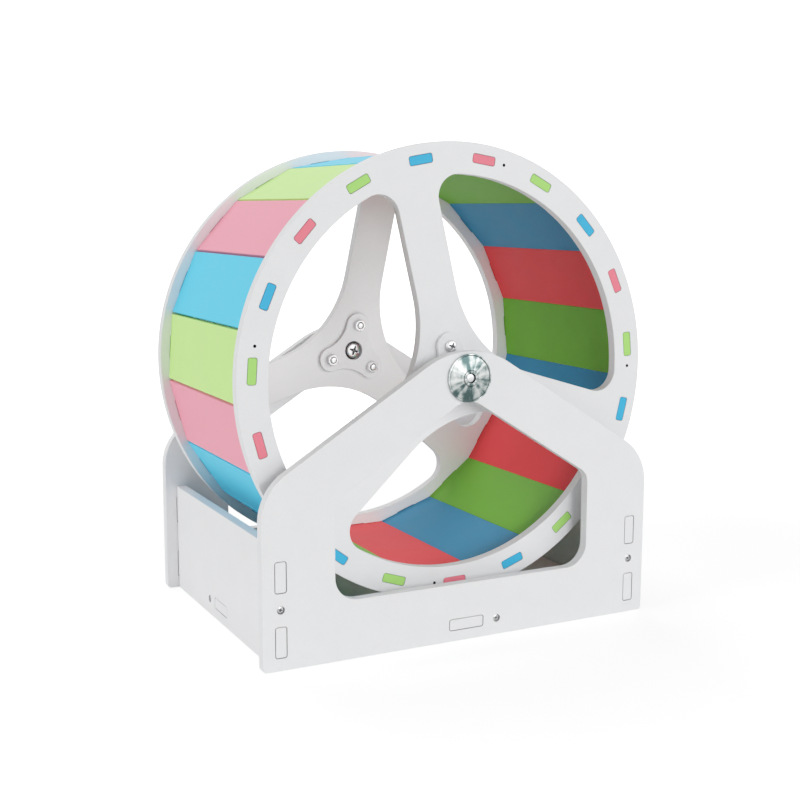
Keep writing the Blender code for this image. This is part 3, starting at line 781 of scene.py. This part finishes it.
def head_rows(radius, height, crown):
    """A crowned head's top from rim to middle, less a cross recess: its radii, heights and how deep it lies.

    The crown is a quarter ellipse. The recess is deep where a point lies close to one of two crossed lines,
    and its arms grow narrower and shallower outward. The depth is a share from nothing to one, which also
    sets the recess's painted shade.
    """
    share = np.cos(np.linspace(0, math.pi / 2, crown_steps))[:-1, None]
    angle = np.arange(columns) * 2 * math.pi / columns + cross_turn
    level = height * (1 - crown) + height * crown * np.sqrt(1 - share ** 2)
    x, y = abs(share * np.cos(angle)), abs(share * np.sin(angle))
    across, along = np.minimum(x, y), np.maximum(x, y)
    arm = np.clip((cross_half_width - cross_taper * along - across) / cross_bank, 0, 1)
    end = np.clip((cross_reach - along) / cross_end_bank, 0, 1)
    dip = cross_depth * height * arm * end * (1 - cross_rise * along)
    radii = np.concatenate([np.repeat(share * radius, columns, 1), np.zeros((1, columns))])
    heights = np.concatenate([level - dip, np.full((1, columns), (1 - cross_depth) * height)])
    return radii, heights, np.concatenate([arm * end, np.ones((1, columns))])


def thread_rows(radius, start, end, pitch):
    """A thread's rows: the radius dips in a wave of the height over the pitch, less the angle in turns."""
    height = np.linspace(start, end, int(round((end - start) / pitch * thread_steps)) + 1)[:, None]
    turn = np.arange(columns)[None, :] / columns
    phase = (height / pitch - turn) % 1
    wave = np.abs(phase * 2 - 1)
    fade = np.clip((height - start) / pitch, 0, 1) * np.clip((end - height) / pitch, 0, 1)
    return radius - thread_depth * radius * wave * fade, np.broadcast_to(height, (len(height), columns))


def screw(name, body, axes, radius, length, form, steel):
    """A screw along its axis: tip, thread, shank, the head's seat, the head's side and its crossed top."""
    head_radius, head_height, crown = form["head"]
    pitch, thread_length = form["thread"]
    tip_radius, tip_length = form["tip"]
    start = -length + tip_length
    turns = thread_rows(radius, start, start + thread_length, pitch)
    reach = np.linspace(0, tip_dome_reach, dome_steps)
    dome = np.stack([reach * tip_radius, -length + tip_dome_rise * tip_length * reach ** 2], 1)
    tip = np.concatenate([dome, [[tip_radius, start - tip_side * tip_length], [radius, start - metal_edge]]])
    seat = rounded([(radius, start + thread_length, 0), (radius, 0, metal_edge), (head_radius, 0, metal_edge),
                    (head_radius, head_height * (1 - crown), 0)], False)[1:-1]
    top = head_rows(head_radius, head_height, crown)
    radii = [np.repeat(tip[:, :1], columns, 1), turns[0], np.repeat(seat[:, :1], columns, 1), top[0]]
    heights = [np.repeat(tip[:, 1:2], columns, 1), turns[1], np.repeat(seat[:, 1:2], columns, 1), top[1]]
    radii, heights = np.concatenate(radii), np.concatenate(heights)
    # The cross recess's share of painted shade
    recess = np.concatenate([np.zeros((len(radii) - len(top[2]), columns)), top[2]])
    revolved(name, body, [steel], radii, heights, axes, recess=recess)


def hex_nut(name, axes):
    """A nut: a hexagon's radius over the angle, whose corners drop away at thirty degrees on both faces."""
    angle = np.arange(columns) * 2 * math.pi / columns
    flat_radius = hub_nut_width / 2
    hexagon = flat_radius / np.cos((angle + math.pi / 6) % (math.pi / 3) - math.pi / 6)
    face_radius = hub_nut_face * flat_radius
    drop = (hexagon - face_radius) * math.tan(math.pi / 6)
    bore, bevel, height = hub_screw_radius + screw_gap, hub_nut_bevel, hub_nut_height
    radius = [bore, bore + bevel, face_radius, hexagon, hexagon, face_radius, bore + bevel, bore]
    rise = [bevel, 0, 0, drop, height - drop, height, height, height - bevel]
    rows = [np.stack([np.broadcast_to(row, columns) for row in values]) for values in (radius, rise)]
    revolved(name, "wheel", [zinc_steel], rows[0], rows[1], axes, ring=True, creased=True)


def make_hub(side, sign, first):
    """A hub's two plates on the disc's faces, and the screws and nuts that clamp them."""
    bolt = np.array([[0, bolt_circle, 0]])
    places = [turned(bolt, first + spoke_pitch * i)[0, :2] for i in range(spoke_count)]
    loops = [plate_outline(first), hole(circle((0, 0), plate_bore))]
    loops += [fitted_hole(place, hub_screw_radius) for place in places]
    walls = {0: edge_wall(plate_board, plate_edge)}
    for where, way in (("outer", sign), ("inner", -sign)):
        middle = sign * disc_middle + way * plate_offset
        shell = board_shell(loops, upright(1, middle), plate_board, walls)
        board(f"{side}_hub_{where}_plate", "wheel", white_plate, [shell])
    for i, (x, z) in enumerate(places):
        axes = axle_axes(sign, sign * (disc_middle + hub_screw_seat), x, z)
        screw(f"{side}_hub_screw_{i + 1}", "wheel", axes, hub_screw_radius, hub_screw_length, hub_screw_form,
              zinc_steel)
        hex_nut(f"{side}_hub_nut_{i + 1}", axle_axes(-sign, sign * (disc_middle - hub_screw_seat), x, z))


def make_hubs():
    make_hub("front", -1, wheel_turn + front_first_spoke)
    make_hub("rear", 1, wheel_turn + rear_first_spoke)


def make_bearing_ring(side, sign):
    """A bearing's outer ring with a ribbed black seal at each face, as one ring section."""
    fine = metal_edge / 2
    foot, outer_crest, inner_crest = seal_rib_radii
    crest = seal_face + seal_rib_height
    half = [(bearing_radius, -bearing_half_width, bearing_corner),
            (bearing_radius, bearing_half_width, bearing_corner), (race_edge, bearing_half_width, fine),
            (race_edge, seal_face, fine), (foot, seal_face, fine), (outer_crest, crest, fine),
            (inner_crest, crest, fine), (seal_bore, seal_face, fine), (seal_bore, seal_back, fine),
            (race_edge, seal_back, fine)]
    mirrored = [(radius, -height, ease) for radius, height, ease in reversed(half[2:])]
    section = rounded(half + mirrored)
    on_seal = (section[:, 0] < race_edge - fine) | (np.roll(section[:, 0], -1) < race_edge - fine)
    revolved(f"{side}_bearing_outer_ring", "wheel", [zinc_steel, seal_rubber], section[:, 0],
             section[:, 1], axle_axes(sign, sign * disc_middle), True, on_seal.astype(int))


def make_axle(side, sign):
    """The crossed axle screw, whose head faces into the wheel, and the flange nut on the frame outside.

    The nut's section runs from the barrel round the flange, down the groove inside its rim, up the cone and
    over the collar to the bore.
    """
    screw(f"{side}_axle_screw", "stand", axle_axes(-sign, sign * axle_head_seat), axle_screw_radius,
          axle_screw_length, axle_screw_form, zinc_steel)
    section = rounded([
        (barrel_radius, -barrel_length, barrel_corner),
        (barrel_radius, flange_base, flange_corner),
        (flange_radius, flange_base, flange_corner),
        (flange_radius, flange_rim, flange_corner),
        (flange_radius - rim_groove_outer, flange_rim + metal_edge, barrel_corner),
        (flange_radius - rim_groove_inner, flange_rim - rim_groove_depth, barrel_corner),
        (collar_radius + cone_gap, cone_top, cone_corner),
        (collar_radius, collar_top, flange_corner),
        (barrel_bore, collar_top, barrel_corner),
        (barrel_bore, -barrel_length, barrel_corner),
    ])
    revolved(f"{side}_axle_flange_nut", "stand", [chrome], section[:, 0], section[:, 1],
             axle_axes(sign, sign * frame_face), True)


# Stand

def house(half, foot, eaves, peak):
    """A house's outline from its half width and the (height, radius) of its foot, eaves and peak."""
    return rounded([(-half, *foot), (half, *foot), (half, *eaves), (0, *peak), (-half, *eaves)])


def frame_loops():
    """A frame's house-shaped edge, its window, the axle's hole, the slots for the tabs and the screws' holes.

    With the outlines come the numbers of the slots and of the screws' holes among them.
    """
    low = -wheel_centre[2]
    edge = house(frame_half_width, (low, foot_radius), (low + shoulder_height, shoulder_radius),
                 (low + roof_height, peak_radius))
    window = house(window_half_width, (low + window_sill, window_sill_radius),
                   (low + window_eaves, window_eaves_radius), (low + window_roof, window_peak_radius))
    loops = [edge, hole(window), fitted_hole((0, 0), barrel_radius)]
    slots = [slot_outline((x, low + height), frame_board, panel_tab, stand_slot_gap)
             for x in (-panel_middle, panel_middle) for height in panel_tab_heights]
    slots.append(slot_outline((0, low + base_middle), base_tab, frame_board, stand_slot_gap))
    bores = [fitted_hole((x, low + height), panel_head_radius) for _, x, height in frame_screw_places]
    slots_end = len(loops) + len(slots)
    return loops + slots + bores, range(len(loops), slots_end), range(slots_end, slots_end + len(bores))


def board_tab(place, along, section, edge):
    """A stand board's tab, which starts just inside the board's edge and runs through the next board."""
    return tab_shell(place, along, section, edge - board_edge, edge + tab_reach)


def bore_walls(bores, side):
    """The stepped walls of the holes that take sunk screws from one side, by their numbers."""
    wall = sunk_wall(frame_board, panel_head_radius + screw_gap, panel_screw_radius + screw_gap,
                     panel_head_depth + board_edge, side)
    return dict.fromkeys(bores, wall)


def make_frames():
    for name, side in (("front_frame", -1), ("rear_frame", 1)):
        loops, slots, bores = frame_loops()
        # Painted shade on the walls of the slots and the screws' holes
        dark = {**dict.fromkeys(slots, frame_slot_shade), **dict.fromkeys(bores, screw_hole_shade)}
        shell = board_shell(loops, upright(side, frame_middle), frame_board, bore_walls(bores, -side), dark)
        board(name, "stand", white_board, [shell])


def make_end_panels():
    """The end panels between the frames, each with a slot for the base panel's tab and a hole for a screw."""
    body = box((0, panel_height / 2), 2 * panel_end, panel_height, board_edge)
    slot = slot_outline((0, base_middle), base_tab, frame_board, stand_slot_gap)
    bore = fitted_hole((base_screw_place, base_middle), panel_head_radius)
    # Painted shade on the walls of the slot and the screw's hole
    dark = {1: slot_shade, 2: screw_hole_shade}
    for name, side in (("left_end_panel", -1), ("right_end_panel", 1)):
        axes = (side * panel_middle, 0, 0), (0, 1, 0), (0, 0, 1), (1, 0, 0)
        shells = [board_shell([body, slot, bore], axes, frame_board, bore_walls([2], side), dark)]
        for way in (-1, 1):
            section = (frame_board, panel_tab, (-way, 0, 0), (0, 0, 1))
            shells += [board_tab((side * panel_middle, 0, height), (0, way, 0), section, panel_end)
                       for height in panel_tab_heights]
        board(name, "stand", white_board, shells)


def make_base_panel():
    """The base panel, which lies low between all four boards with a tab in each."""
    middle = (0, 0, base_middle)
    body = box((0, 0), 2 * base_side, 2 * panel_end, board_edge)
    shells = [board_shell([body], (middle, (1, 0, 0), (0, 1, 0), (0, 0, 1)), frame_board)]
    for way in (-1, 1):
        end_section = (base_tab, frame_board, (0, way, 0), (0, 0, 1))
        frame_section = (base_tab, frame_board, (-way, 0, 0), (0, 0, 1))
        shells += [board_tab(middle, (way, 0, 0), end_section, base_side),
                   board_tab(middle, (0, way, 0), frame_section, panel_end)]
    board("base_panel", "stand", white_board, shells)


def panel_screw(name, axes):
    screw(name, "stand", axes, panel_screw_radius, panel_screw_length, panel_screw_form, dull_steel)


def make_panel_screws():
    for side, sign in (("front", -1), ("rear", 1)):
        for where, x, z in frame_screw_places:
            axes = axle_axes(sign, sign * (frame_face - panel_head_depth), x, z - wheel_centre[2])
            panel_screw(f"{side}_frame_screw_{where}", axes)
    for side, sign in (("left", -1), ("right", 1)):
        place = (sign * (panel_outer_face - panel_head_depth), base_screw_place, base_middle)
        panel_screw(f"{side}_panel_screw", (place, (0, sign, 0), (0, 0, 1), (sign, 0, 0)))


make_discs()
make_slats()
make_hubs()
for side, sign in (("front", -1), ("rear", 1)):
    make_bearing_ring(side, sign)
    make_axle(side, sign)
make_frames()
make_end_panels()
make_base_panel()
make_panel_screws()

for part in frame["record"]["subparts"]:
    node = nodes[part["node"]]
    node.data.materials.clear()
    node.data.materials.append(finishes[part["material_slot"]])


# Studio

# The camera, as fitted to the photo: its place, its angles in radians, and its axis and lens in pixels
camera_place = Vector((-0.282534, -0.558654, 0.196917))
camera_yaw = 0.4736
camera_pitch = -0.149
camera_roll = 0.0029
image_side = 800
focal_pixels = 1264.04
axis_pixel = (403.33, 398.50)
sensor_width = 36

# How strong the world is where it lights the wheel, where a surface mirrors it, and where the camera sees it
sky_light = 0.08
reflected_light = 0.7
backdrop_light = 2.0

# The light at which the film's curve has its points, how far off the lamps stand and what they face
film_levels = (0.05, 0.15, 0.3, 0.5, 0.75)
softbox_distance = 1.6
softbox_aim = Vector((0, 0, 0.1))
floor_half = 3

camera_data = bpy.data.cameras.new("camera")
camera_data.sensor_width = sensor_width
camera_data.lens = focal_pixels * sensor_width / image_side
camera_data.shift_x = 0.5 - axis_pixel[0] / image_side
camera_data.shift_y = axis_pixel[1] / image_side - 0.5
camera = bpy.data.objects.new("camera", camera_data)
bpy.context.scene.collection.objects.link(camera)
camera.matrix_world = (Matrix.Translation(camera_place)
                       @ Matrix.Rotation(-camera_yaw, 4, "Z")
                       @ Matrix.Rotation(math.pi / 2 + camera_pitch, 4, "X")
                       @ Matrix.Rotation(camera_roll, 4, "Z"))
bpy.context.scene.camera = camera

world = bpy.data.worlds.new("studio")
bpy.context.scene.world = world
world.use_nodes = True
backdrop = world.node_tree.nodes["Background"]
sky = Socket(world.node_tree)
seen = sky.node("ShaderNodeLightPath", output="Is Camera Ray")
mirrored = sky.node("ShaderNodeLightPath", output="Is Glossy Ray")
shine = sky_light + (backdrop_light - sky_light) * seen + (reflected_light - sky_light) * mirrored
world.node_tree.links.new(shine.output, backdrop.inputs["Strength"])
backdrop.inputs["Color"].default_value = (1, 1, 1, 1)

# The film's soft shoulder, on the curve of all colours: twice the light over one more than the light
view = bpy.context.scene.view_settings
view.view_transform = "Standard"
view.use_curve_mapping = True
film = view.curve_mapping.curves[3]
for level in film_levels:
    film.points.new(level, 2 * level / (1 + level))
view.curve_mapping.update()


def softbox(name, azimuth, elevation, size, power, distance=softbox_distance):
    """A square lamp that faces the wheel: its azimuth runs to the right from the front, its elevation up.

    The last one hangs inside the wheel, close to its middle, and faintly lights the rear disc's inner side.
    """
    light = bpy.data.lights.new(name, "AREA")
    light.shape = "SQUARE"
    light.size = size
    light.energy = power
    lamp = bpy.data.objects.new(name, light)
    bpy.context.scene.collection.objects.link(lamp)
    side, rise = math.radians(azimuth), math.radians(elevation)
    way = Vector((math.cos(rise) * math.sin(side), -math.cos(rise) * math.cos(side), math.sin(rise)))
    lamp.location = softbox_aim + distance * way
    lamp.rotation_euler = way.to_track_quat("Z", "Y").to_euler()


softbox("left", -90, 20, 0.9, 9.0)
softbox("front", 10, 20, 0.9, 4.25)
softbox("low front", 0, 10, 0.5, 3.7)
softbox("front right", 42, 20, 0.9, 4.9)
softbox("rear left", -128, 38, 0.9, 1.2)
softbox("rear top", 180, 60, 0.9, 8.1)
softbox("within the wheel", 0, 0, 0.1, 0.027, 0.042)

floor_mesh = bpy.data.meshes.new("floor")
corners = [(x * floor_half, y * floor_half, 0) for x, y in ((-1, -1), (1, -1), (1, 1), (-1, 1))]
floor_mesh.from_pydata(corners, [], [(0, 1, 2, 3)])
floor = bpy.data.objects.new("floor", floor_mesh)
floor.data.materials.append(floor_finish("pale floor"))
bpy.context.scene.collection.objects.link(floor)
